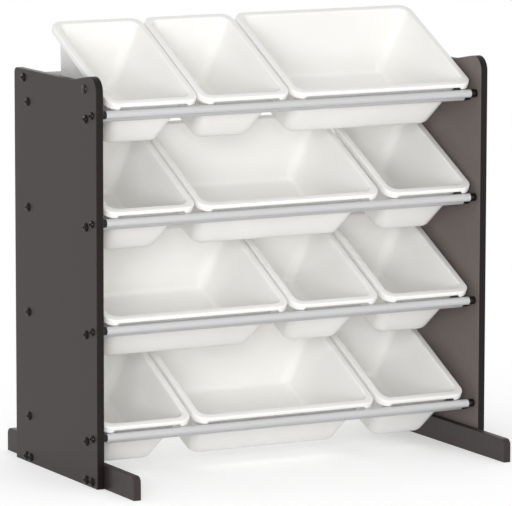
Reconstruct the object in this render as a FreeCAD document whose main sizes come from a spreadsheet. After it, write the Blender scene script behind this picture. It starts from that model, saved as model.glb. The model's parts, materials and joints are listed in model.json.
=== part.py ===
import FreeCAD, Part
import math
import os
import Sketcher

# A toy storage organizer: two laminated side panels stand on two long feet, white steel rods
# cross between them in four rows, and twelve white plastic bins lie tilted on the rods.
# +X is to the right, +Y to the rear and +Z up, in millimetres. The origin is on the floor, in
# the middle of the feet. Row 1 is the top row.

V = FreeCAD.Vector
X_AXIS = V(1, 0, 0)
XY, YZ = "XY_Plane", "YZ_Plane"
doc = FreeCAD.newDocument("toy_organizer")


# ---------------------------------------------------------------- driving dimensions
SIZES = {
    # side panels
    "panel_thickness": 15,
    "panel_behind_backstop": 42.5,  # panel's rear edge behind the backstop rod's axis
    "panel_above_rods": 60,         # panel's top edge above the top row's front rod axis
    "crest_rise": 14,               # the top edge is this much higher at the front
    "crest_length": 30,             # level stretch of the crest, from the front edge
    "crest_slope_run": 80,
    "crest_round": 180,
    "front_top_radius": 28,
    "rear_top_radius": 10,
    "panel_edge_round": 1.5,
    # feet, fastened to the inner faces of the panels
    "foot_thickness": 15,
    "foot_height": 46,
    "foot_reach_front": 127,        # past the panel's front edge
    "foot_reach_rear": 75,
    "foot_end_radius": 12,
    "foot_edge_round": 1.5,
    # rods and their end plugs
    "rod_diameter": 16,
    "rod_wall": 1.2,
    "plug_collar": 13.5,            # visible length of plug between panel and rod
    "plug_spigot": 18,
    "plug_chamfer": 0.8,
    "plug_spigot_gap": 0.2,
    "lowest_rod_height": 95,
    "row_pitch": 207,
    "front_rod_setback": 20,        # front rod axis behind the panel's front edge
    # how the bins lie on the rods
    "tilt": 27.1,                   # degrees, rear end up
    "seat_gap": 0.3,
    "second_rod_depth": 38,         # where the second rod meets the bin's front wall
    "rear_rod_inset": 21.5,         # where the rear rod meets the floor, from its rear end
    "backstop_depth": 119,
    "backstop_gap": 5,
    "row_room": 38,                 # sideways room shared out among the three bins of a row
    # bins
    "small_width": 195,
    "large_width": 399,
    "rim_length": 296,
    "rim_corner": 24,
    "lip_width": 14,
    "lip_round": 2,
    "mouth_round": 3,
    "skirt_height": 13,
    "bin_wall": 2.3,
    "mouth_corner": 18,
    "front_depth": 130,
    "rear_depth": 146,
    "floor_setback": 54,            # floor's front end, behind the rim's front edge
    "floor_inset_rear": 24,
    "floor_inset_side": 39,
    "floor_corner": 22,
    "floor_round": 12,
    # screws and hole caps
    "rod_screw_head": 18,
    "front_screw_head": 15,
    "screw_head_height": 4.5,
    "screw_shank": 5,
    "rod_screw_length": 38,
    "foot_screw_length": 26,
    "screw_socket": 5,              # across the flats
    "screw_socket_depth": 2.5,
    "screw_gap": 0.2,
    "screw_point": 3,
    "foot_screw_height": 11,
    "foot_screw_front": 24,         # first foot screw behind the panel's front edge
    "foot_screw_front_pitch": 25,
    "foot_screw_rear": 47,          # last foot screw in front of the panel's rear edge
    "foot_screw_rear_pitch": 20,
    "cap_setback": 52,
    "cap_above_rods": 48,
    "cap_diameter": 19,
    "cap_height": 3.5,
    "cap_hole": 8,
    "cap_hole_depth": 11,
    "cap_peg_gap": 0.2,
}

# Places that follow from the sizes. In a bin's own frame a place has a "along" measure, from
# the rim's front edge to the rear in the rim's plane, and a "deep" measure, square to that plane.
PLACES = {
    "cosine": "=cos(sizes.tilt)",
    "sine": "=sin(sizes.tilt)",
    "inner_width": "=2 * sizes.small_width + sizes.large_width + sizes.row_room",
    "half_inner": "=inner_width / 2",
    "half_outer": "=half_inner + sizes.panel_thickness",
    "rod_radius": "=sizes.rod_diameter / 2",
    "rod_reach": "=rod_radius + sizes.seat_gap",
    # rim's front edge, seen from the front rod axis: the skirt's lower edge is right above it
    "rim_setback": "=-sizes.skirt_height * sine",
    "rim_rise": "=rod_reach + sizes.skirt_height * cosine",
    # outer faces of the tub
    "tub_inset": "=sizes.lip_width - sizes.bin_wall",
    "front_lean": "=sizes.floor_setback - tub_inset",
    "front_slant": "=sqrt(front_lean ^ 2 + sizes.front_depth ^ 2)",
    "floor_run": "=sizes.rim_length - sizes.floor_inset_rear - sizes.floor_setback",
    "floor_drop": "=sizes.rear_depth - sizes.front_depth",
    "floor_slant": "=sqrt(floor_run ^ 2 + floor_drop ^ 2)",
    "rear_lean": "=sizes.floor_inset_rear - tub_inset",
    "rear_slant": "=sqrt(rear_lean ^ 2 + sizes.rear_depth ^ 2)",
    # second rod: touches the front wall from outside
    "second_along": "=tub_inset + (front_lean * sizes.second_rod_depth"
                    " / sizes.front_depth) - rod_reach * sizes.front_depth / front_slant",
    "second_deep": "=sizes.second_rod_depth + rod_reach * front_lean / front_slant",
    "second_rod_rise": "=rim_rise + second_along * sine - second_deep * cosine",
    # rear rod: carries the floor near its rear end
    "rear_touch": "=floor_run - sizes.rear_rod_inset",
    "rear_along": "=sizes.floor_setback + rear_touch - rod_reach * floor_drop / floor_slant",
    "rear_deep": "=sizes.front_depth + rear_touch * floor_drop / floor_run"
                 " + rod_reach * floor_run / floor_slant",
    "rear_rod_rise": "=rim_rise + rear_along * sine - rear_deep * cosine",
    # backstop rod: behind the rear wall of the top row
    "backstop_reach": "=rod_radius + sizes.backstop_gap",
    "backstop_along": "=sizes.rim_length - tub_inset - rear_lean * sizes.backstop_depth"
                      " / sizes.rear_depth + backstop_reach * sizes.rear_depth / rear_slant",
    "backstop_deep": "=sizes.backstop_depth + backstop_reach * rear_lean / rear_slant",
    "backstop_setback": "=rim_setback + backstop_along * cosine + backstop_deep * sine",
    "backstop_rod_rise": "=rim_rise + backstop_along * sine - backstop_deep * cosine",
    # from the front to the rear: the panels reach past the backstop, and the feet past them
    "panel_depth": "=sizes.front_rod_setback + backstop_setback + sizes.panel_behind_backstop",
    "foot_length": "=sizes.foot_reach_front + panel_depth + sizes.foot_reach_rear",
    "panel_front": "=sizes.foot_reach_front - foot_length / 2",
    "front_rod_y": "=panel_front + sizes.front_rod_setback",
    "rim_y": "=front_rod_y + rim_setback",
    "second_rod_y": "=rim_y + second_along * cosine + second_deep * sine",
    "rear_rod_y": "=rim_y + rear_along * cosine + rear_deep * sine",
    "backstop_rod_y": "=front_rod_y + backstop_setback",
}

ROW_COUNT = 4
# Each row from left to right, and how its sideways room is shared: before the first bin,
# between the bins and after the last one.
ROWS = {
    1: (("small", "small", "large"), (10, 2, 3, 5)),
    2: (("small", "large", "small"), (7, 3, 7, 3)),
    3: (("large", "small", "small"), (7, 3, 5, 5)),
    4: (("small", "large", "small"), (2, 4, 4, 10)),
}
PLACE_NAMES = ("left", "middle", "right")


# ---------------------------------------------------------------- helpers
def make_sheet(name, contents):
    """Spreadsheet with one named cell for each entry."""
    sheet = doc.addObject("Spreadsheet::Sheet", name)
    for line, alias in enumerate(contents, 1):
        sheet.set(f"A{line}", alias)
        sheet.setAlias(f"B{line}", alias)
    for line, content in enumerate(contents.values(), 1):
        sheet.set(f"B{line}", str(content))
    doc.recompute()
    return sheet


def value(text):
    """Number that an expression gives now."""
    result = sizes.evalExpression(text)
    return float(getattr(result, "Value", result))


def bind(thing, expressions):
    for name, text in expressions.items():
        thing.setExpression(name, text)


def row_height(row):
    """Expression for the height of a row's front rod axis."""
    return f"(sizes.lowest_rod_height + {ROW_COUNT - row} * sizes.row_pitch)"


def new_body(label, x="0", y="0", z="0"):
    body = doc.addObject("PartDesign::Body", label)
    body.Label = label
    bind(body, {"Placement.Base.x": x, "Placement.Base.y": y, "Placement.Base.z": z})
    return body


def new_sketch(body, plane_role, name):
    sketch = body.newObject("Sketcher::SketchObject", f"{body.Name}_{name}")
    plane = next(p for p in body.Origin.OriginFeatures if p.Role == plane_role)
    sketch.AttachmentSupport = [(plane, "")]
    sketch.MapMode = "FlatFace"
    return sketch


def hold(sketch, kind, *where):
    """Add a constraint whose last argument is an expression, and bind it to that."""
    text = where[-1]
    index = sketch.addConstraint(Sketcher.Constraint(kind, *where[:-1], value(text)))
    sketch.setExpression(f"Constraints[{index}]", text)


def place_point(sketch, edge, end, x, y):
    """Hold a point at the expressions x and y; None means that it is on that axis."""
    if x is None:
        sketch.addConstraint(Sketcher.Constraint("PointOnObject", edge, end, -2))
    else:
        hold(sketch, "DistanceX", -1, 1, edge, end, x)
    if y is None:
        sketch.addConstraint(Sketcher.Constraint("PointOnObject", edge, end, -1))
    else:
        hold(sketch, "DistanceY", -1, 1, edge, end, y)


def polygon(sketch, corners):
    """Closed outline of straight lines through the corners, each a pair of expressions."""
    spots = [V(value(x or "0"), value(y or "0"), 0) for x, y in corners]
    count = len(spots)
    first = len(sketch.Geometry)
    for i, spot in enumerate(spots):
        sketch.addGeometry(Part.LineSegment(spot, spots[(i + 1) % count]))
    for i, (x, y) in enumerate(corners):
        after = first + (i - 1) % count
        sketch.addConstraint(Sketcher.Constraint("Coincident", after, 2, first + i, 1))
        place_point(sketch, first + i, 1, x, y)


def circle(sketch, x, y, radius):
    centre = V(value(x or "0"), value(y or "0"), 0)
    index = sketch.addGeometry(Part.Circle(centre, V(0, 0, 1), value(radius)))
    hold(sketch, "Radius", index, radius)
    place_point(sketch, index, 3, x, y)


def rounded_rectangle(sketch, width, front, rear, radius):
    """Rounded rectangle, centred sideways, between front (None: on the axis) and rear."""
    side = value(width) / 2
    low = value(front) if front else 0
    high, r = value(rear), value(radius)
    corners = [(side, low), (side, high), (-side, high), (-side, low)]
    starts = [(-side + r, low), (side, low + r), (side - r, high), (-side, high - r)]
    ends = [(side - r, low), (side, high - r), (-side + r, high), (-side, low + r)]
    first = len(sketch.Geometry)
    for start, end in zip(starts, ends):
        sketch.addGeometry(Part.LineSegment(V(*start, 0), V(*end, 0)))
    quarter = math.pi / 2
    for i, (x, y) in enumerate(corners):
        centre = V(x - r if x > 0 else x + r, y - r if y == high else y + r, 0)
        arc = Part.ArcOfCircle(Part.Circle(centre, V(0, 0, 1), r), (i - 1) * quarter, i * quarter)
        sketch.addGeometry(arc)
    lines = [first + i for i in range(4)]
    arcs = [first + 4 + i for i in range(4)]
    for i in range(4):
        sketch.addConstraint(Sketcher.Constraint("Tangent", lines[i], 2, arcs[i], 1))
        sketch.addConstraint(Sketcher.Constraint("Tangent", arcs[i], 2, lines[(i + 1) % 4], 1))
    for arc in arcs[1:]:
        sketch.addConstraint(Sketcher.Constraint("Equal", arcs[0], arc))
    sketch.addConstraint(Sketcher.Constraint("Horizontal", lines[2]))
    sketch.addConstraint(Sketcher.Constraint("Vertical", lines[1]))
    sketch.addConstraint(Sketcher.Constraint("Vertical", lines[3]))
    sketch.addConstraint(Sketcher.Constraint("Symmetric", lines[0], 1, lines[0], 2, -2))
    hold(sketch, "DistanceX", lines[3], 1, lines[1], 1, width)
    hold(sketch, "Radius", arcs[0], radius)
    if front:
        hold(sketch, "DistanceY", -1, 1, lines[0], 1, front)
    else:
        sketch.addConstraint(Sketcher.Constraint("PointOnObject", lines[0], 1, -1))
    hold(sketch, "DistanceY", -1, 1, lines[2], 1, rear)


def pad(body, sketch, length, downward=False):
    feature = body.newObject("PartDesign::Pad", f"{sketch.Name}_pad")
    feature.Profile = sketch
    feature.Reversed = downward
    feature.setExpression("Length", length)
    doc.recompute()
    return feature


def pocket(body, sketch, depth=None):
    """Cut towards +X, to the depth given or through everything."""
    feature = body.newObject("PartDesign::Pocket", f"{sketch.Name}_pocket")
    feature.Profile = sketch
    feature.Reversed = True
    before = feature.BaseFeature.Shape.Volume
    if depth:
        feature.setExpression("Length", depth)
    else:
        feature.Type = "ThroughAll"
    doc.recompute()
    if feature.Shape.Volume >= before:
        raise RuntimeError(f"{feature.Name} cuts nothing")
    return feature


def revolve(body, sketch):
    """Turn a profile about the body's own X axis."""
    feature = body.newObject("PartDesign::Revolution", f"{sketch.Name}_turned")
    feature.Profile = sketch
    axis = next(a for a in body.Origin.OriginFeatures if a.Role == "X_Axis")
    feature.ReferenceAxis = (axis, [""])
    feature.Angle = 360
    doc.recompute()
    return feature


def repeat(body, features, role, length, count):
    """Repeat features in a line along one of the body's axes."""
    pattern = body.newObject("PartDesign::LinearPattern", f"{body.Name}_{features[0].Name}_row")
    pattern.Originals = features
    axis = next(a for a in body.Origin.OriginFeatures if a.Role == role)
    pattern.Direction = (axis, [""])
    pattern.setExpression("Length", length)
    pattern.Occurrences = count
    body.Tip = pattern
    doc.recompute()
    return pattern


def edge_names(feature, test):
    return [f"Edge{i}" for i, edge in enumerate(feature.Shape.Edges, 1) if test(edge)]


def round_edges(body, feature, names, radius):
    fillet = body.newObject("PartDesign::Fillet", f"{feature.Name}_round")
    fillet.Base = (feature, names)
    fillet.setExpression("Radius", radius)
    doc.recompute()
    return fillet


def mirror(source, label):
    """Right-hand twin of a left-hand piece."""
    twin = doc.addObject("Part::Mirroring", label)
    twin.Label = label
    twin.Source = source
    twin.Normal = X_AXIS
    doc.recompute()
    return twin


def edge_points(edge):
    return [vertex.Point for vertex in edge.Vertexes]


NEAR = 0.01         # two places closer than this are the same one
FLOOR_NEAR = 0.1    # the sloping inner floor is found to this


def near(a, b):
    return abs(a - b) < NEAR


# ---------------------------------------------------------------- side panels and feet
def along_x_at(edge, y, z):
    """True for an edge that runs along X through the given place."""
    return all(near(p.y, y) and near(p.z, z) for p in edge_points(edge))


def outline_edges(feature, faces_x):
    """Edges round the faces at the given X, but not those that stand on the floor."""
    def test(edge):
        points = edge_points(edge)
        on_face = any(all(near(p.x, x) for p in points) for x in faces_x)
        return on_face and not all(near(p.z, 0) for p in points)
    return edge_names(feature, test)


def rod_spots():
    """Each kind of rod: its name, its Y and its rise above the row's front rod axis."""
    return [("front", "places.front_rod_y", "0"),
            ("second", "places.second_rod_y", "places.second_rod_rise"),
            ("rear", "places.rear_rod_y", "places.rear_rod_rise")]


def foot_screw_spots():
    """Y of each foot screw, from the front."""
    front = "(places.panel_front + sizes.foot_screw_front)"
    rear = "(places.panel_front + places.panel_depth - sizes.foot_screw_rear)"
    return [front, f"{front} + sizes.foot_screw_front_pitch",
            f"{rear} - sizes.foot_screw_rear_pitch", rear]


SCREW_HOLE = "sizes.screw_shank / 2 + sizes.screw_gap"
# Outlines of the domed heads, from the top down: shares of the head's height and radius.
SCREW_DOME = ((1, 0.45), (0.86, 0.68), (0.62, 0.86), (0.3, 0.97))
CAP_DOME = ((1, 0.45), (0.84, 0.7), (0.5, 0.92), (0, 1))


def make_side_panel(label):
    body = new_body(label, x="-places.half_outer")
    top = f"({row_height(1)} + sizes.panel_above_rods)"
    crest = f"({top} + sizes.crest_rise)"
    front, rear = "places.panel_front", "places.panel_front + places.panel_depth"
    crest_end = f"{front} + sizes.crest_length"
    slope_end = f"{crest_end} + sizes.crest_slope_run"
    outline = new_sketch(body, YZ, "outline")
    polygon(outline, [(front, None), (rear, None), (rear, top), (slope_end, top),
                      (crest_end, crest), (front, crest)])
    shape = pad(body, outline, "sizes.panel_thickness")
    for y, z, radius in ((slope_end, top, "sizes.crest_round"),
                         (crest_end, crest, "sizes.crest_round"),
                         (front, crest, "sizes.front_top_radius"),
                         (rear, top, "sizes.rear_top_radius")):
        corner = edge_names(shape, lambda e: along_x_at(e, value(y), value(z)))
        shape = round_edges(body, shape, corner, radius)
    faces = (0, value("sizes.panel_thickness"))
    round_edges(body, shape, outline_edges(shape, faces), "sizes.panel_edge_round")
    rod_holes = new_sketch(body, YZ, "rod_holes")
    for name, y, rise in rod_spots():
        circle(rod_holes, y, f"{row_height(ROW_COUNT)} + {rise}", SCREW_HOLE)
    drilled = pocket(body, rod_holes)
    repeat(body, [drilled], "Z_Axis", f"{ROW_COUNT - 1} * sizes.row_pitch", ROW_COUNT)
    other_holes = new_sketch(body, YZ, "other_holes")
    circle(other_holes, "places.backstop_rod_y",
           f"{row_height(1)} + places.backstop_rod_rise", SCREW_HOLE)
    for y in foot_screw_spots():
        circle(other_holes, y, "sizes.foot_screw_height", SCREW_HOLE)
    pocket(body, other_holes)
    cap_hole = new_sketch(body, YZ, "cap_hole")
    circle(cap_hole, f"{front} + sizes.cap_setback",
           f"{row_height(1)} + sizes.cap_above_rods", "sizes.cap_hole / 2")
    pocket(body, cap_hole, "sizes.cap_hole_depth")
    return body


def make_foot(label):
    body = new_body(label, x="-places.half_inner")
    front = "-places.foot_length / 2"
    rear = "places.foot_length / 2"
    top = "sizes.foot_height"
    outline = new_sketch(body, YZ, "outline")
    polygon(outline, [(front, None), (rear, None), (rear, top), (front, top)])
    shape = pad(body, outline, "sizes.foot_thickness")
    corners = edge_names(shape, lambda e: along_x_at(e, value(front), value(top))
                         or along_x_at(e, value(rear), value(top)))
    shape = round_edges(body, shape, corners, "sizes.foot_end_radius")
    faces = (0, value("sizes.foot_thickness"))
    round_edges(body, shape, outline_edges(shape, faces), "sizes.foot_edge_round")
    holes = new_sketch(body, YZ, "holes")
    for y in foot_screw_spots():
        circle(holes, y, "sizes.foot_screw_height", SCREW_HOLE)
    pocket(body, holes, "sizes.foot_screw_length - sizes.panel_thickness + sizes.screw_gap")
    return body


# ---------------------------------------------------------------- rods, plugs and screws
def make_rod(label, y, z):
    """White steel tube between two end plugs."""
    length = "(places.inner_width - 2 * sizes.plug_collar)"
    body = new_body(label, x=f"-{length} / 2", y=y, z=z)
    ring = new_sketch(body, YZ, "ring")
    circle(ring, None, None, "places.rod_radius")
    circle(ring, None, None, "places.rod_radius - sizes.rod_wall")
    pad(body, ring, length)
    return body


def repeat_by_row(body, features, count):
    if count > 1:
        repeat(body, features, "Z_Axis", f"{count - 1} * sizes.row_pitch", count)


def make_plugs(label, y, z, count):
    """Black end plugs of the left rod ends: a collar, and a spigot inside the tube."""
    body = new_body(label, x="-places.half_inner", y=y, z=z)
    spigot = "places.rod_radius - sizes.rod_wall - sizes.plug_spigot_gap"
    end = "sizes.plug_collar + sizes.plug_spigot"
    profile = new_sketch(body, XY, "profile")
    polygon(profile, [(None, SCREW_HOLE), (None, "places.rod_radius - sizes.plug_chamfer"),
                      ("sizes.plug_chamfer", "places.rod_radius"),
                      ("sizes.plug_collar", "places.rod_radius"), ("sizes.plug_collar", spigot),
                      (f"{end} - sizes.plug_chamfer", spigot),
                      (end, f"{spigot} - sizes.plug_chamfer"), (end, SCREW_HOLE)])
    repeat_by_row(body, [revolve(body, profile)], count)
    return body


def hexagon(sketch, across):
    """Hexagon about the origin, with flats on the left and right."""
    flat, half_side = f"{across} / 2", f"{across} / (2 * sqrt(3))"
    point = f"{across} / sqrt(3)"
    polygon(sketch, [(flat, f"-{half_side}"), (flat, half_side), (None, point),
                     (f"-{flat}", half_side), (f"-{flat}", f"-{half_side}"), (None, f"-{point}")])


def make_screws(label, y, z, head, length, rows=1, spread=None):
    """Screws of the left panel, heads outside: one for each row, or one at each spread."""
    body = new_body(label, x="-places.half_outer", y=y, z=z)
    radius, shank = f"{head} / 2", "sizes.screw_shank / 2"
    top = "-sizes.screw_head_height"
    dome = [(f"{top} * {rise}", f"{radius} * {reach}") for rise, reach in SCREW_DOME]
    profile = new_sketch(body, XY, "profile")
    polygon(profile, [(top, None), *dome, (None, radius), (None, shank),
                      (f"{length} - sizes.screw_point", shank), (length, None)])
    turned = revolve(body, profile)
    socket = new_sketch(body, YZ, "socket")
    socket.setExpression("AttachmentOffset.Base.z", top)
    hexagon(socket, "sizes.screw_socket")
    cut = pocket(body, socket, "sizes.screw_socket_depth")
    repeat_by_row(body, [turned, cut], rows)
    if spread:
        repeat(body, [turned, cut], "Y_Axis", spread, 2)
    return body


def make_cap(label):
    """Black cap in the spare hole near the panel's front top corner."""
    body = new_body(label, x="-places.half_outer", y="places.panel_front + sizes.cap_setback",
                    z=f"{row_height(1)} + sizes.cap_above_rods")
    radius, height = "sizes.cap_diameter / 2", "-sizes.cap_height"
    peg = "sizes.cap_hole / 2 - sizes.cap_peg_gap"
    peg_end = "sizes.cap_hole_depth - sizes.cap_peg_gap"
    dome = [(f"{height} * {rise}" if rise else None, f"{radius} * {reach}")
            for rise, reach in CAP_DOME]
    profile = new_sketch(body, XY, "profile")
    polygon(profile, [(height, None), *dome, (None, peg), (peg_end, peg), (peg_end, None)])
    revolve(body, profile)
    return body


# ---------------------------------------------------------------- bins
def floor_height(y, lift):
    """Height of the floor in the bin's own frame, lifted by a wall for the inner face."""
    slope = value("places.floor_drop / places.floor_run")
    return lift - value("sizes.front_depth") - (y - value("sizes.floor_setback")) * slope


def floor_edges(feature, lift):
    def test(edge):
        ends = [edge.valueAt(edge.FirstParameter), edge.valueAt(edge.LastParameter)]
        return all(abs(p.z - floor_height(p.y, lift)) < FLOOR_NEAR for p in ends)
    return edge_names(feature, test)


def rim_edges(feature, outer):
    """Edges round the lip's top face: the outer ones, or the ones round the mouth."""
    top = next(face for face in feature.Shape.Faces
               if near(face.BoundBox.ZMin, 0) and near(face.BoundBox.ZMax, 0))
    outside = top.OuterWire.Edges
    wanted = [e for e in top.Edges if any(e.isSame(o) for o in outside) == outer]
    return edge_names(feature, lambda edge: any(edge.isSame(w) for w in wanted))


def tub_section(body, name, width, inset, corner):
    """Section of the tub in the rim's plane."""
    sketch = new_sketch(body, XY, name)
    rounded_rectangle(sketch, f"{width} - 2 * ({inset})", inset,
                      f"sizes.rim_length - ({inset})", corner)
    return sketch


def floor_section(body, name, width, lift, corner):
    """Section of the tub in the plane of its sloping floor, lifted for the inner face."""
    sketch = new_sketch(body, XY, name)
    sketch.AttachmentOffset = FreeCAD.Placement(V(), FreeCAD.Rotation(X_AXIS, 1))
    bind(sketch, {"AttachmentOffset.Rotation.Angle": "-atan(places.floor_drop / places.floor_run)",
                  "AttachmentOffset.Base.y": "sizes.floor_setback",
                  "AttachmentOffset.Base.z": f"{lift} - sizes.front_depth"})
    rounded_rectangle(sketch, f"{width} - 2 * sizes.floor_inset_side - 2 * {lift}",
                      None if lift == "0" else lift, f"places.floor_slant - {lift}", corner)
    return sketch


def loft(body, kind, start, end):
    feature = body.newObject(f"PartDesign::{kind}Loft", f"{start.Name}_loft")
    feature.Profile = start
    feature.Sections = [end]
    feature.Ruled = True
    doc.recompute()
    return feature


def make_bin(label, width, centre, row):
    """Moulded bin: lip with a turned-down skirt round a tapered tub with rounded edges."""
    body = new_body(label, x=centre, y="places.rim_y", z=f"{row_height(row)} + places.rim_rise")
    body.Placement.Rotation = FreeCAD.Rotation(X_AXIS, 1)
    body.setExpression("Placement.Rotation.Angle", "sizes.tilt * 1 deg")
    plate = new_sketch(body, XY, "lip")
    rounded_rectangle(plate, width, None, "sizes.rim_length", "sizes.rim_corner")
    pad(body, plate, "sizes.bin_wall", downward=True)
    skirt = new_sketch(body, XY, "skirt")
    rounded_rectangle(skirt, width, None, "sizes.rim_length", "sizes.rim_corner")
    rounded_rectangle(skirt, f"{width} - 2 * sizes.bin_wall", "sizes.bin_wall",
                      "sizes.rim_length - sizes.bin_wall", "sizes.rim_corner - sizes.bin_wall")
    pad(body, skirt, "sizes.skirt_height", downward=True)
    loft(body, "Additive",
         tub_section(body, "tub", width, "places.tub_inset",
                     "sizes.mouth_corner + sizes.bin_wall"),
         floor_section(body, "tub_floor", width, "0", "sizes.floor_corner"))
    shape = loft(body, "Subtractive",
                 tub_section(body, "mouth", width, "sizes.lip_width", "sizes.mouth_corner"),
                 floor_section(body, "inner_floor", width, "sizes.bin_wall",
                               "sizes.floor_corner - sizes.bin_wall"))
    shape = round_edges(body, shape, floor_edges(shape, value("sizes.bin_wall")),
                        "sizes.floor_round - sizes.bin_wall")
    shape = round_edges(body, shape, floor_edges(shape, 0), "sizes.floor_round")
    shape = round_edges(body, shape, rim_edges(shape, outer=False), "sizes.mouth_round")
    round_edges(body, shape, rim_edges(shape, outer=True), "sizes.lip_round")
    return body


def make_row(row):
    """Three bins side by side, with the row's sideways room shared out."""
    kinds, shares = ROWS[row]
    pieces = []
    reached = "-places.half_inner"
    for place, kind, share in zip(PLACE_NAMES, kinds, shares):
        width = f"sizes.{kind}_width"
        left = f"{reached} + sizes.row_room * {share} / {sum(shares)}"
        label = f"row{row}_{place}_{kind}_bin"
        pieces.append(make_bin(label, width, f"{left} + {width} / 2", row))
        reached = f"{left} + {width}"
    return pieces


# ---------------------------------------------------------------- the whole organizer
sizes = make_sheet("sizes", SIZES)
places = make_sheet("places", PLACES)


def make_left_side():
    """Panel, foot, plugs, screws and cap of the left side, by the name without its side."""
    bottom = row_height(ROW_COUNT)
    pieces = {"side_panel": make_side_panel("left_side_panel"), "foot": make_foot("left_foot")}
    for name, y, rise in rod_spots():
        head = "sizes.front_screw_head" if name == "front" else "sizes.rod_screw_head"
        z = f"{bottom} + {rise}"
        pieces[f"{name}_rod_plugs"] = make_plugs(f"left_{name}_rod_plugs", y, z, ROW_COUNT)
        pieces[f"{name}_rod_screws"] = make_screws(f"left_{name}_rod_screws", y, z, head,
                                                   "sizes.rod_screw_length", ROW_COUNT)
    y, z = "places.backstop_rod_y", f"{row_height(1)} + places.backstop_rod_rise"
    pieces["backstop_rod_plug"] = make_plugs("left_backstop_rod_plug", y, z, 1)
    pieces["backstop_rod_screw"] = make_screws("left_backstop_rod_screw", y, z,
                                               "sizes.rod_screw_head", "sizes.rod_screw_length")
    spots = foot_screw_spots()
    for name, y in (("front", spots[0]), ("rear", spots[2])):
        pieces[f"{name}_foot_screws"] = make_screws(
            f"left_{name}_foot_screws", y, "sizes.foot_screw_height", "sizes.rod_screw_head",
            "sizes.foot_screw_length", spread=f"sizes.foot_screw_{name}_pitch")
    pieces["hole_cap"] = make_cap("left_hole_cap")
    return pieces


def make_rods():
    rods = []
    for row in ROWS:
        for name, y, rise in rod_spots():
            rods.append(make_rod(f"row{row}_{name}_rod", y, f"{row_height(row)} + {rise}"))
    rods.append(make_rod("backstop_rod", "places.backstop_rod_y",
                         f"{row_height(1)} + places.backstop_rod_rise"))
    return rods


left_side = make_left_side()
right_side = [mirror(piece, f"right_{name}") for name, piece in left_side.items()]
bins = [piece for row in ROWS for piece in make_row(row)]
pieces = [*left_side.values(), *right_side, *make_rods(), *bins]
doc.recompute()


# ---------------------------------------------------------------- checks and files
for thing in doc.Objects:
    if "Invalid" in thing.State or "Error" in thing.State:
        raise RuntimeError(f"{thing.Label} is {thing.State}")

os.makedirs("parts", exist_ok=True)
for piece in pieces:
    shape = piece.Shape
    if shape.isNull() or not shape.isValid() or not shape.Solids:
        raise RuntimeError(f"{piece.Label} has no valid shape")
    shape.exportStep(f"parts/{piece.Label}.step")
    print(f"{piece.Label}: {len(shape.Solids)} solid(s), {shape.Volume / 1000:.1f} cm3")
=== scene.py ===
# %% [markdown]
# # A toy organizer with tilted bins
#
# On the real thing two dark laminated boards stand on long feet, white steel tubes cross
# between them, and twelve white plastic bins lie tilted on the tubes. The construction, and
# everything that has to fit, comes ready as a frame. This notebook adds what the eye wants:
# a camera and soft light, a finish for each material, and the bins as thin moulded shells.

# %% Load the construction
import json
import math

import bpy
from mathutils import Matrix, Vector


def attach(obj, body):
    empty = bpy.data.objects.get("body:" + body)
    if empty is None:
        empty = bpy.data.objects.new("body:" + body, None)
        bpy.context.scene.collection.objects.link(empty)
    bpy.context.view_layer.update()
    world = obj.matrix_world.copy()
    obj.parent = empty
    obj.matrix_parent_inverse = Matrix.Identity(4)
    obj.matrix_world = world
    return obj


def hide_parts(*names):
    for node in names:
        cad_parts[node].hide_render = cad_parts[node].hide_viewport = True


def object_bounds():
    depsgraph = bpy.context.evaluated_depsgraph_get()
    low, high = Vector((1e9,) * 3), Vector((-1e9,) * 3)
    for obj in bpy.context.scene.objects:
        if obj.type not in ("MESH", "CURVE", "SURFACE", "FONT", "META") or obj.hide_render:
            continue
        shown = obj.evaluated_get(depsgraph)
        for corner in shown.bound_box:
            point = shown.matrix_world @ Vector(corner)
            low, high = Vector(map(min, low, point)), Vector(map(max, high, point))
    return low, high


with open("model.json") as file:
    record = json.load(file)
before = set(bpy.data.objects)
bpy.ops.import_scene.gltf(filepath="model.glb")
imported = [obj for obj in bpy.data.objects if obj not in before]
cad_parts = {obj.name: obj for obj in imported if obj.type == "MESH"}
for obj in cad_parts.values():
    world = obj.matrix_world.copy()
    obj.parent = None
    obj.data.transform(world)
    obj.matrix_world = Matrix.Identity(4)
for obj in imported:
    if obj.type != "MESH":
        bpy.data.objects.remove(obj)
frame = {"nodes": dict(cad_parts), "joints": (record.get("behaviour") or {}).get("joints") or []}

MM = 0.001              # Blender's unit here is the metre
SIDEWAYS = Vector((1, 0, 0))
nodes = frame["nodes"]
cad_low, cad_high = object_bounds()
cad_size = cad_high - cad_low
print(f"{len(nodes)} pieces, {cad_size.x:.3f} x {cad_size.y:.3f} x {cad_size.z:.3f} m")

# %% [markdown]
# ## Camera
#
# The picture was taken from about nine metres away with a long lens, a little above the
# organizer and from its left. A long lens keeps the boards' edges nearly parallel. The shift
# moves the picture on the sensor without tilting the camera, as a view camera does.

# %% Camera
CAMERA_PLACE = Vector((-4.0782, -7.6978, 1.7157))
CAMERA_YAW = math.radians(27.788)       # to the right of straight ahead
CAMERA_PITCH = math.radians(8.722)      # downwards
CAMERA_ROLL = math.radians(0.09)
CAMERA_LENS = 314.6                     # mm, on a sensor 36 mm wide
CAMERA_SHIFT = (0.0155, 0.0268)


def link(thing):
    bpy.context.scene.collection.objects.link(thing)
    return thing


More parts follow.
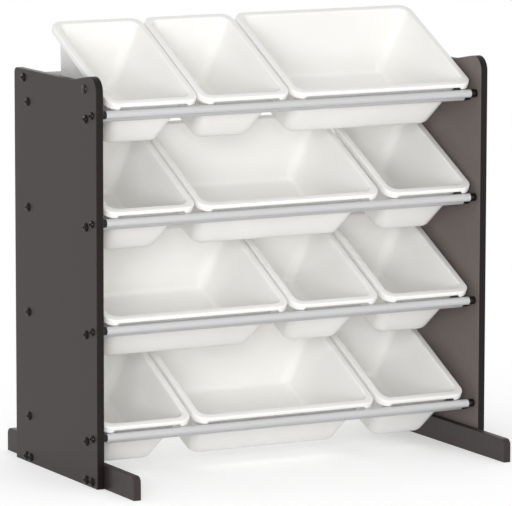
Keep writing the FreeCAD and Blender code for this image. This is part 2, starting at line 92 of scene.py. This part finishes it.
def make_camera():
    camera = link(bpy.data.objects.new("camera", bpy.data.cameras.new("camera")))
    camera.data.lens = CAMERA_LENS
    camera.data.shift_x, camera.data.shift_y = CAMERA_SHIFT
    turn = Matrix.Rotation(-CAMERA_YAW, 4, "Z")
    tip = Matrix.Rotation(math.pi / 2 - CAMERA_PITCH, 4, "X")
    roll = Matrix.Rotation(CAMERA_ROLL, 4, "Z")
    camera.matrix_world = Matrix.Translation(CAMERA_PLACE) @ turn @ tip @ roll
    bpy.context.scene.camera = camera
    return camera


print("camera", make_camera().name, "with a lens of", CAMERA_LENS, "mm")

# %% [markdown]
# ## Small helpers for materials
#
# Colours are written as they look on a screen, in sRGB hex, and one function turns them into
# the linear numbers that light is reckoned in. Another adds a node together with its settings
# and links, so that a material reads from top to bottom like a recipe.


# %% Helpers for materials
def linear(hex_colour):
    """sRGB hex, such as #f2f2f0, as the linear RGBA of a Blender socket."""
    shares = [int(hex_colour[i:i + 2], 16) / 255 for i in (1, 3, 5)]
    return [s / 12.92 if s <= 0.04045 else ((s + 0.055) / 1.055) ** 2.4 for s in shares] + [1]


def add(tree, kind, inputs=None, **settings):
    """Add a node. inputs gives each socket a value, or another node's output to link to."""
    node = tree.nodes.new("ShaderNode" + kind)
    for name, setting in settings.items():
        setattr(node, name, setting)
    for name, given in (inputs or {}).items():
        if isinstance(given, bpy.types.NodeSocket):
            tree.links.new(given, node.inputs[name])
        else:
            node.inputs[name].default_value = given
    return node


def new_material(name, roughness, **inputs):
    """Material, its node tree and its Principled shader. Where nodes vary the roughness, the
    number given here is about its mean."""
    material = bpy.data.materials.new(name)
    material.use_nodes = True
    shader = material.node_tree.nodes["Principled BSDF"]
    shader.inputs["Roughness"].default_value = roughness
    for socket, given in inputs.items():
        shader.inputs[socket.replace("_", " ")].default_value = given
    return material, material.node_tree, shader


def per_metre(size_mm):
    """Scale of a texture whose features are this size."""
    return 1 / (size_mm * MM)


def noise(tree, place, size_mm, detail=2.0):
    return add(tree, "TexNoise", {"Vector": place, "Scale": per_metre(size_mm),
                                  "Detail": detail}).outputs["Fac"]


def mix_colours(tree, share, first, second):
    """Mix two colours, each a linear RGBA or another node's output."""
    mix = add(tree, "Mix", data_type="RGBA")
    tree.links.new(share, mix.inputs["Factor"])
    for socket, colour in (("A", first), ("B", second)):
        if isinstance(colour, bpy.types.NodeSocket):
            tree.links.new(colour, mix.inputs[socket])
        else:
            mix.inputs[socket].default_value = colour
    return mix.outputs["Result"]


def blend_colours(tree, share, first, second):
    """Mix two colours given in hex."""
    return mix_colours(tree, share, linear(first), linear(second))


def stretch(tree, share, low, high):
    """Spread a 0 to 1 value over low to high."""
    return add(tree, "MapRange", {"Value": share, "To Min": low, "To Max": high}).outputs["Result"]


def raise_surface(tree, shader, height, depth_mm, below=None):
    """Bump of the given depth, on top of the bump below it."""
    bump = add(tree, "Bump", {"Height": height, "Distance": depth_mm * MM})
    if below:
        tree.links.new(below.outputs["Normal"], bump.inputs["Normal"])
    tree.links.new(bump.outputs["Normal"], shader.inputs["Normal"])
    return bump


def grained(name, roughness, spread, colours, grain_mm, depth_mm, **inputs):
    """Material with one fine noise in its colour, its roughness and its height."""
    material, tree, shader = new_material(name, roughness, **inputs)
    grain = noise(tree, add(tree, "TexCoord").outputs["Object"], grain_mm)
    tree.links.new(blend_colours(tree, grain, *colours), shader.inputs["Base Color"])
    tree.links.new(stretch(tree, grain, *spread), shader.inputs["Roughness"])
    raise_surface(tree, shader, grain, depth_mm)
    return material


# %% [markdown]
# ## Floor and backdrop
#
# A catalogue picture has a white floor that runs on into white, with only a soft shadow under
# the object. The floor is a matt disc that takes the lamps' light. Where the camera, or a
# shiny surface, looks at it, a little white is added, and it fades to pure white with distance,
# so that no lamp has to be turned up for the sake of the background.

# %% Floor and world
FLOOR_RADIUS = 3.2
FLOOR_FACETS = 96
FADE_START, FADE_END = 0.35, 1.25       # metres from the middle of the organizer
FLOOR_LIFT = 0.32                       # white added near the organizer, for the camera
AMBIENT = 0.56                          # what the world gives to matt surfaces
WHITE = (1, 1, 1, 1)


def seen_directly(tree):
    """1 for the camera's rays and for mirrored ones, 0 for the rays that light the object."""
    path = add(tree, "LightPath")
    first = add(tree, "Math", {0: path.outputs["Is Camera Ray"], 1: path.outputs["Is Glossy Ray"]},
                operation="MAXIMUM").outputs[0]
    return add(tree, "Math", {0: first, 1: path.outputs["Is Transmission Ray"]},
               operation="MAXIMUM").outputs[0]


def floor_paint():
    material, tree, shader = new_material("floor_white", 0.9)
    place = add(tree, "TexCoord").outputs["Object"]
    clouds = noise(tree, place, size_mm=400)
    tree.links.new(blend_colours(tree, clouds, "#f7f7f7", "#f3f3f3"), shader.inputs["Base Color"])
    distance = add(tree, "VectorMath", {0: place}, operation="LENGTH").outputs["Value"]
    fade = add(tree, "MapRange", {"Value": distance, "From Min": FADE_START,
                                  "From Max": FADE_END}).outputs["Result"]
    glow = add(tree, "Emission", {"Color": WHITE, "Strength": FLOOR_LIFT})
    white = add(tree, "Emission", {"Color": WHITE, "Strength": 1.0})
    lifted = add(tree, "AddShader", {0: shader.outputs[0], 1: glow.outputs[0]})
    faded = add(tree, "MixShader", {0: fade, 1: lifted.outputs[0], 2: white.outputs[0]})
    choice = add(tree, "MixShader", {0: seen_directly(tree), 1: shader.outputs[0],
                                     2: faded.outputs[0]})
    tree.links.new(choice.outputs[0], tree.nodes["Material Output"].inputs["Surface"])
    return material


def make_floor():
    mesh = bpy.data.meshes.new("floor")
    turns = [math.tau * i / FLOOR_FACETS for i in range(FLOOR_FACETS)]
    rim = [(FLOOR_RADIUS * math.cos(a), FLOOR_RADIUS * math.sin(a), 0) for a in turns]
    mesh.from_pydata(rim, [], [range(FLOOR_FACETS)])
    mesh.materials.append(floor_paint())
    link(bpy.data.objects.new("floor", mesh))


def make_world():
    world = bpy.data.worlds.new("studio")
    world.use_nodes = True
    tree = world.node_tree
    tree.nodes.clear()
    ambient = add(tree, "Background", {"Color": WHITE, "Strength": AMBIENT})
    white = add(tree, "Background", {"Color": WHITE, "Strength": 1.0})
    choice = add(tree, "MixShader", {0: seen_directly(tree), 1: ambient.outputs[0],
                                     2: white.outputs[0]})
    output = add(tree, "OutputWorld")
    tree.links.new(choice.outputs[0], output.inputs["Surface"])
    bpy.context.scene.world = world


make_floor()
make_world()
bpy.context.scene.view_settings.view_transform = "Standard"
print("floor of radius", FLOOR_RADIUS, "m; ambient light", AMBIENT)

# %% [markdown]
# ## Lamps
#
# The light in the picture is broad and comes from the front, no higher than the eye: the bins
# are bright to the bottom, with soft grey hollows and no hard shadows. Two large softboxes in
# front, the left one much stronger, do that. A small one behind, on the left, puts a glint on
# the screw heads, and a large one behind, on the right, keeps the back readable.

# %% Lamps
AIM = Vector((0, 0, 0.4))
SOFTBOXES = {
    # name: (place, side of the square in metres, watts)
    "key_left": ((-2.6, -4.3, 1.15), 2.3, 150),
    "fill_right": ((2.2, -4.3, 1.1), 2.2, 20),
    "glint_left": ((-3.4, 3.4, 1.7), 0.5, 18),
    "rear_fill": ((1.6, 4.4, 2.0), 2.4, 26),
}


def make_softbox(name, place, side, watts):
    lamp = bpy.data.lights.new(name, "AREA")
    lamp.shape = "SQUARE"
    lamp.size = side
    lamp.energy = watts
    box = link(bpy.data.objects.new(name, lamp))
    turn = (AIM - Vector(place)).to_track_quat("-Z", "Y")
    box.matrix_world = Matrix.Translation(place) @ turn.to_matrix().to_4x4()


for box_name, (box_place, box_side, box_watts) in SOFTBOXES.items():
    make_softbox(box_name, box_place, box_side, box_watts)
print("softboxes:", ", ".join(SOFTBOXES))

# %% [markdown]
# ## Moulded polypropylene
#
# The bins are injection-moulded polypropylene, a milky plastic that lets a little light in
# under its skin, so that its shadows stay soft and turn faintly warm where light has bounced
# about inside a bin. The mould's spark-eroded face leaves a fine satin grain. Its grains of a
# few tenths of a millimetre are too fine for the picture, so they are drawn at 1.4 mm. Long
# walls also show shallow waves where the plastic shrank as it cooled.

# %% Moulded polypropylene
def moulded_polypropylene():
    material, tree, shader = new_material("white_polypropylene", 0.42, IOR=1.49,
                                          Subsurface_Weight=0.10, Subsurface_Scale=4 * MM)
    shader.inputs["Subsurface Radius"].default_value = (1.0, 0.9, 0.75)
    place = add(tree, "TexCoord").outputs["Object"]
    waves = noise(tree, place, size_mm=70, detail=1.0)
    grain = noise(tree, place, size_mm=1.4)
    tree.links.new(blend_colours(tree, waves, "#f7f6f4", "#f4f3f0"), shader.inputs["Base Color"])
    tree.links.new(stretch(tree, grain, 0.36, 0.48), shader.inputs["Roughness"])
    shrinkage = raise_surface(tree, shader, waves, depth_mm=0.5)
    raise_surface(tree, shader, grain, depth_mm=0.03, below=shrinkage)
    return material


# %% [markdown]
# ## Laminated board
#
# Panels and feet are fibreboard under a printed, melamine-coated paper, an espresso brown with
# a hardly visible grain that runs along the board. Melamine is hard and satin: seen at a slant
# it mirrors the white room and looks greyer than it is. The cut edges carry a darker, duller
# edge band, so the shader asks each spot whether it faces sideways (a face) or not (an edge).
# The inner faces, those that look towards the organizer's middle, are painted lighter: painted
# bounce light, the glow the white bins throw onto them, not a lighter print.

# %% Laminated board
FIBRE_LENGTH, FIBRE_WIDTH = 90, 2.5     # mm
EDGE_BELOW, FACE_ABOVE = 0.6, 0.8       # how far a spot's normal points sideways
EDGE_ROUGHNESS, FACE_ROUGHNESS = 0.5, 0.36
FIBRE_ROUGHNESS = 0.04                  # what the fibres add to that, or take off
BOARD_TONES = {
    # the darkest and the lightest print on the outer face and the edge band, and between them the
    # inner face's pair: the same print made lighter by painted bounce light from the bins
    "panel": (("#281d1c", "#2f2423"), ("#69605d", "#726966"), ("#0d0706", "#120b0a")),
    "foot": (("#302928", "#362f2e"), ("#3b3433", "#413a39"), ("#322b2a", "#38302f")),
}


def laminated_board(name, tones, along):
    """along is the axis of the grain, Y for feet and Z for panels."""
    material, tree, shader = new_material(name, 0.38, IOR=1.5, Specular_IOR_Level=0.21)
    coordinates = add(tree, "TexCoord")
    lengths = {axis: per_metre(FIBRE_WIDTH) for axis in "XYZ"}
    lengths[along] = per_metre(FIBRE_LENGTH)
    squeezed = add(tree, "Mapping", {"Vector": coordinates.outputs["Object"],
                                     "Scale": tuple(lengths.values())}).outputs["Vector"]
    fibres = add(tree, "TexNoise", {"Vector": squeezed, "Scale": 1.0, "Detail": 4.0,
                                    "Distortion": 0.4}).outputs["Fac"]
    sideways = add(tree, "SeparateXYZ", {0: coordinates.outputs["Normal"]}).outputs["X"]
    facing = add(tree, "Math", {0: sideways}, operation="ABSOLUTE").outputs[0]
    on_face = add(tree, "MapRange", {"Value": facing, "From Min": EDGE_BELOW,
                                     "From Max": FACE_ABOVE}).outputs["Result"]
    # outside is 1 on faces that look away from the middle; the other faces take the inner tones,
    # which are painted bounce light from the white bins
    side = add(tree, "SeparateXYZ", {0: coordinates.outputs["Object"]}).outputs["X"]
    outwards = add(tree, "Math", {0: sideways, 1: side}, operation="MULTIPLY").outputs[0]
    outside = add(tree, "Math", {0: outwards, 1: 0.0}, operation="GREATER_THAN").outputs[0]
    outer, inner, edge = (blend_colours(tree, fibres, *pair) for pair in tones)
    face = mix_colours(tree, outside, inner, outer)
    tree.links.new(mix_colours(tree, on_face, edge, face), shader.inputs["Base Color"])
    dull = stretch(tree, on_face, EDGE_ROUGHNESS, FACE_ROUGHNESS)
    uneven = stretch(tree, fibres, -FIBRE_ROUGHNESS, FIBRE_ROUGHNESS)
    roughness = add(tree, "Math", {0: dull, 1: uneven}, operation="ADD").outputs[0]
    tree.links.new(roughness, shader.inputs["Roughness"])
    raise_surface(tree, shader, fibres, depth_mm=0.04)
    return material


# %% [markdown]
# ## Powder-coated tube
#
# The rods are thin steel tube under powder coat, a white that is greyer than the bins'. Powder
# melts into a skin with a slight orange peel, a ripple about two millimetres across, and a soft
# gloss.

# %% Powder-coated tube
def powder_coat():
    return grained("white_powder_coat", roughness=0.3, spread=(0.26, 0.36),
                   colours=("#c6c6c7", "#bebec0"), grain_mm=2.2, depth_mm=0.06, IOR=1.5)


# %% [markdown]
# ## Black nylon and black screws
#
# The rods' end plugs and the hole caps are black moulded nylon, even and slightly glossy. The
# screws are steel under a black electrocoat, a thin baked paint. A glossy paint hardly mirrors
# the room head on, but strongly at a slant, so each domed head is black with a lighter crescent
# on the side that turns away from the eye. Fine marks of a millimetre break the crescent up.

# %% Black nylon and black screws
def black_nylon():
    return grained("black_nylon", roughness=0.3, spread=(0.22, 0.36),
                   colours=("#110e0d", "#0b0908"), grain_mm=1.2, depth_mm=0.04,
                   IOR=1.53, Specular_IOR_Level=0.25)


def black_electrocoat():
    return grained("black_electrocoat", roughness=0.11, spread=(0.08, 0.14),
                   colours=("#0d0b0b", "#080707"), grain_mm=1.0, depth_mm=0.01,
                   IOR=1.5, Specular_IOR_Level=0.2)


# %% Finish the construction's own pieces
finishes = {
    "side_panel": laminated_board("espresso_laminate_upright", BOARD_TONES["panel"], "Z"),
    "foot": laminated_board("espresso_laminate_foot", BOARD_TONES["foot"], "Y"),
    "rod": powder_coat(),
    "plug": black_nylon(),
    "screw": black_electrocoat(),
}
finishes["cap"] = finishes["plug"]
plastic = moulded_polypropylene()


def finish_of(name):
    """A node's finish, by the last word of its name."""
    ending = name.rstrip("s")
    return next((m for word, m in finishes.items() if ending.endswith(word)), plastic)


for node_name, node in nodes.items():
    node.data.materials.clear()
    node.data.materials.append(finish_of(node_name))
print("finishes:", ", ".join(sorted({finish_of(n).name for n in nodes})))

# %% [markdown]
# ## A bin as a stack of outlines
#
# A moulded bin is a thin skin folded over a rim. Every level of it is a rounded rectangle, so
# the mesh is made of such outlines, all with the same number of points: from the middle of the
# inner floor up the inside wall, over the lip, down the skirt, back up behind it and down the
# outside to the bottom. Joining each outline to the next gives one closed shell of even quads.
# Where two surfaces meet in a round, a curve led by three outlines makes the steps between.
# The skirt ends a little higher along its front, but not at its corners: that is the thin dark
# line between the front lips and the rod.

# %% Sizes of a bin
WALL = 2.3              # mm, as are the others
LIP_WIDTH = 14
LIP_ROUND = 2
MOUTH_ROUND = 3
SKIRT_HEIGHT = 13
SKIRT_EDGE_ROUND = 0.8
SKIRT_CUTOUT = 5        # the front skirt ends this much higher between its corners
CUTOUT_END = 4          # length of the slope at each end of the cut-out
RIM_CORNER = 24
MOUTH_CORNER = 18
FRONT_DEPTH, REAR_DEPTH = 130, 146
FLOOR_SETBACK = 54      # floor's front end behind the rim's front edge
FLOOR_INSET_REAR = 24
FLOOR_INSET_SIDE = 39
FLOOR_CORNER = 22
FLOOR_ROUND = 12
WALL_DRAW = 0.8         # a long wall draws in this much at its middle as it cools

CORNER_STEPS = 8        # parts of each quarter turn
SIDE_STEPS = 6          # parts of each straight side
WALL_STEPS = 8
ROUND_STEPS = 5
FLOOR_MARGIN = 6        # width of the flat ring inside the floor's round
CORNER_PULL = 0.72      # pull of a corner on its round; 0.71 makes a quarter of a circle
HAIR = 0.01             # keeps two outlines that would meet apart


# %% Outlines of a bin
def side_shares(run):
    """Where the points of a straight side lie: one near each end, the others evenly."""
    end = CUTOUT_END / run
    return [end, *(step / SIDE_STEPS for step in range(1, SIDE_STEPS)), 1 - end]


def outline(half_width, front, rear, corner, high_front, high_rear, draw=0.0):
    """Rounded rectangle in a plane that slopes from its front to its rear, in millimetres."""
    reach_x, reach_y = half_width - corner, (rear - front) / 2 - corner
    middle = (front + rear) / 2
    centres = [(reach_x, -reach_y), (reach_x, reach_y), (-reach_x, reach_y), (-reach_x, -reach_y)]
    points = []
    for side, (x, y) in enumerate(centres):
        start = (side - 1) * math.pi / 2
        for step in range(CORNER_STEPS + 1):
            angle = start + step * math.pi / 2 / CORNER_STEPS
            points.append([x + corner * math.cos(angle), y + corner * math.sin(angle)])
        next_x, next_y = centres[(side + 1) % 4]
        out = (math.cos(start + math.pi / 2), math.sin(start + math.pi / 2))
        run = math.hypot(next_x - x, next_y - y)
        for share in side_shares(run):
            inward = corner - draw * math.sin(math.pi * share)
            points.append([x + (next_x - x) * share + out[0] * inward,
                           y + (next_y - y) * share + out[1] * inward])
    slope = (high_rear - high_front) / (rear - front)
    return [Vector((x, y + middle, high_front + (y + middle - front) * slope)) for x, y in points]


def rounded(first, corner, last):
    """Outlines between first and last that turn smoothly past the corner outline."""
    made = []
    for step in range(1, ROUND_STEPS):
        t = step / ROUND_STEPS
        weights = ((1 - t) ** 2, 2 * t * (1 - t) * CORNER_PULL, t * t)
        total = sum(weights)
        made.append([(a * weights[0] + b * weights[1] + c * weights[2]) / total
                     for a, b, c in zip(first, corner, last)])
    return made


def between(a, b, share):
    return a + (b - a) * share


class Bin:
    """Outlines of one bin. Its frame has x sideways, y from the rim's front to the rear, z up."""

    def __init__(self, width, length):
        self.half, self.length = width / 2, length

    def level(self, inset, high, corner):
        """Outline parallel to the rim, inset alike all round."""
        return outline(self.half - inset, inset, self.length - inset, corner, high, high)

    def wall(self, down, skin, draw=0.0, inset=0.0):
        """Outline of the tub: down runs from 0 at the rim to 1 at the floor, and skin is 0 for
        the outside and a wall's thickness for the inside. An inset stays in the same plane."""
        top = LIP_WIDTH - WALL + skin
        side = between(top, FLOOR_INSET_SIDE + skin, down) + inset
        front = between(top, FLOOR_SETBACK + skin, down)
        rear = self.length - between(top, FLOOR_INSET_REAR + skin, down)
        corner = between(MOUTH_CORNER + WALL, FLOOR_CORNER, down) - skin - inset
        high_front, high_rear = [-(depth - skin) * down for depth in (FRONT_DEPTH, REAR_DEPTH)]
        sink = (high_rear - high_front) / (rear - front) * inset
        return outline(self.half - side, front + inset, rear - inset, corner,
                       high_front + sink, high_rear - sink, draw)

    def floor_side(self, skin):
        """The tub from near its floor to the floor's flat ring."""
        turn = FLOOR_ROUND - skin
        start = 1 - turn / FRONT_DEPTH
        ring = self.wall(1, skin, inset=turn)
        return [self.wall(start, skin), *rounded(self.wall(start, skin), self.wall(1, skin), ring),
                ring, self.wall(1, skin, inset=turn + FLOOR_MARGIN)]

    def wall_side(self, skin, top):
        """The tub from just under the rim to near its floor."""
        bottom = 1 - (FLOOR_ROUND - skin) / FRONT_DEPTH
        made = []
        for step in range(WALL_STEPS):
            share = step / WALL_STEPS
            draw = WALL_DRAW * math.sin(math.pi * share) ** 2
            made.append(self.wall(between(top, bottom, share), skin, draw))
        return made

    def skirt_end(self, inset, above):
        """Outline near the skirt's lower edge, raised over the cut-out in the front side."""
        points = self.level(inset, above - SKIRT_HEIGHT, RIM_CORNER - inset)
        first = len(points) - SIDE_STEPS - 1        # the front side's points come last
        for point in points[first:]:
            point.z += SKIRT_CUTOUT
        return points

    def rim(self):
        """From the mouth over the lip, down the skirt and back up to the tub's outside."""
        crest = self.level(LIP_WIDTH - MOUTH_ROUND, 0, MOUTH_CORNER + MOUTH_ROUND)
        mouth = self.level(LIP_WIDTH, 0, MOUTH_CORNER)
        inside = self.wall(MOUTH_ROUND / FRONT_DEPTH, WALL)
        edge_top = self.level(LIP_ROUND, 0, RIM_CORNER - LIP_ROUND)
        edge = self.level(0, 0, RIM_CORNER)
        edge_side = self.level(0, -LIP_ROUND, RIM_CORNER)
        low = self.skirt_end(0, SKIRT_EDGE_ROUND)
        lowest = self.skirt_end(0, 0)
        under = self.skirt_end(SKIRT_EDGE_ROUND, 0)
        behind = self.skirt_end(WALL, 0)
        up = self.level(WALL, -WALL - LIP_ROUND, RIM_CORNER - WALL)
        inner_edge = self.level(WALL, -WALL, RIM_CORNER - WALL)
        below = self.level(WALL + LIP_ROUND, -WALL, RIM_CORNER - WALL - LIP_ROUND)
        return [inside, *rounded(inside, mouth, crest), crest, edge_top,
                *rounded(edge_top, edge, edge_side), edge_side, low,
                *rounded(low, lowest, under), under, behind, up,
                *rounded(up, inner_edge, below), below]

    def outlines(self):
        inner_top = MOUTH_ROUND / FRONT_DEPTH
        outer_top = (WALL + HAIR) / FRONT_DEPTH
        inner = [*self.wall_side(WALL, inner_top), *self.floor_side(WALL)]
        outer = [*self.wall_side(0, outer_top), *self.floor_side(0)]
        return [*inner[::-1][:-1], *self.rim(), *outer]


def shell_mesh(name, outlines):
    """Closed mesh of quads between the outlines, with a face across the first and the last."""
    count = len(outlines[0])
    points = [p * MM for ring in outlines for p in ring]
    faces = [list(range(count))[::-1]]
    for level in range(len(outlines) - 1):
        for i in range(count):
            j = (i + 1) % count
            a, b = level * count, (level + 1) * count
            faces.append([a + i, a + j, b + j, b + i])
    faces.append([(len(outlines) - 1) * count + i for i in range(count)])
    mesh = bpy.data.meshes.new(name)
    mesh.from_pydata(points, [], faces)
    mesh.shade_smooth()
    mesh.materials.append(plastic)
    return mesh


# %% [markdown]
# ## Put the bins on the rods
#
# The frame says where each bin is. Its slide runs square to its rim, so the slide's axis gives
# the tilt, and the furthest points of the construction's bin along that axis and across it
# give the rim's place, width and length.

# %% Bins
slide_up = Vector(frame["joints"][0]["axis"])
rearwards = slide_up.cross(SIDEWAYS)


def rim_place(node):
    """A bin's matrix, and its width and length in millimetres."""
    spots = [v.co for v in node.data.vertices]
    sides = [p.x for p in spots]
    alongs = [p.dot(rearwards) for p in spots]
    height = max(p.dot(slide_up) for p in spots)
    middle = (min(sides) + max(sides)) / 2
    origin = SIDEWAYS * middle + rearwards * min(alongs) + slide_up * height
    turn = Matrix((SIDEWAYS, rearwards, slide_up)).transposed()
    matrix = Matrix.Translation(origin) @ turn.to_4x4()
    return matrix, (max(sides) - min(sides)) / MM, (max(alongs) - min(alongs)) / MM


def make_bin(name):
    matrix, width, length = rim_place(nodes[name])
    mesh = shell_mesh(name, Bin(width, length).outlines())
    mesh.transform(matrix)
    piece = link(bpy.data.objects.new(f"{name}_moulding", mesh))
    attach(piece, name)
    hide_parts(name)
    return piece


bin_pieces = [make_bin(name) for name in nodes if name.endswith("_bin")]
print(len(bin_pieces), "bins with", len(bin_pieces[0].data.polygons), "faces each")
